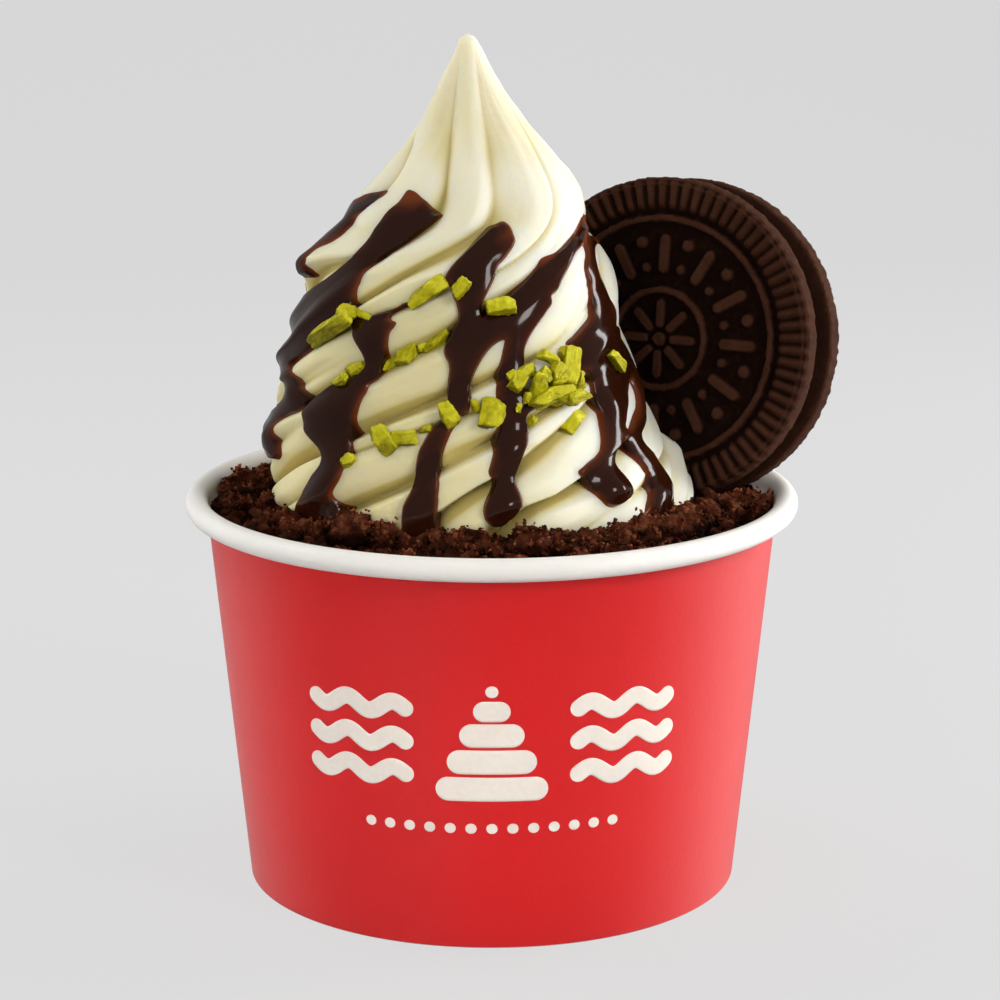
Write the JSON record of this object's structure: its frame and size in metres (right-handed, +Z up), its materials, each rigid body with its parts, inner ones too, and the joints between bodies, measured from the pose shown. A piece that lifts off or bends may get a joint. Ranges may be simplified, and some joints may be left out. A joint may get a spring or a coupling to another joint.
{
  "type": "frozen yogurt cup",
  "caption": "Paper cup of ridged soft frozen yogurt with chocolate crumbs at its foot and a chocolate sandwich cookie pushed into its back.",
  "frame": {"origin": "middle of the bounding box seen from above, at the height of the foot ring; the cup's axis stands 2.8 mm to its -X side because the cookie overhangs the rim on +X", "axes": "+Z up the cup's axis, +X towards the side with the cookie, -Y towards the side that the cookie's moulded face looks to"},
  "size_m": [0.1016, 0.096, 0.1328],
  "materials": {
    "printed_paper": "matt red print on white paper",
    "frozen_yogurt": "satin, slightly translucent",
    "chocolate_crumbs": "dry and rough",
    "chocolate_wafer": "dry, fine grained",
    "cookie_filling": "matt",
    "chocolate_sauce": "glossy, thin at its edges",
    "pistachio": "chopped, dry"
  },
  "bodies": {
    "root": {"cup": "printed_paper", "yogurt_swirl": "frozen_yogurt", "crumb_bed": "chocolate_crumbs", "cookie_wafer_front": "chocolate_wafer", "cookie_filling": "cookie_filling", "cookie_wafer_back": "chocolate_wafer"}
  },
  "joints": []
}
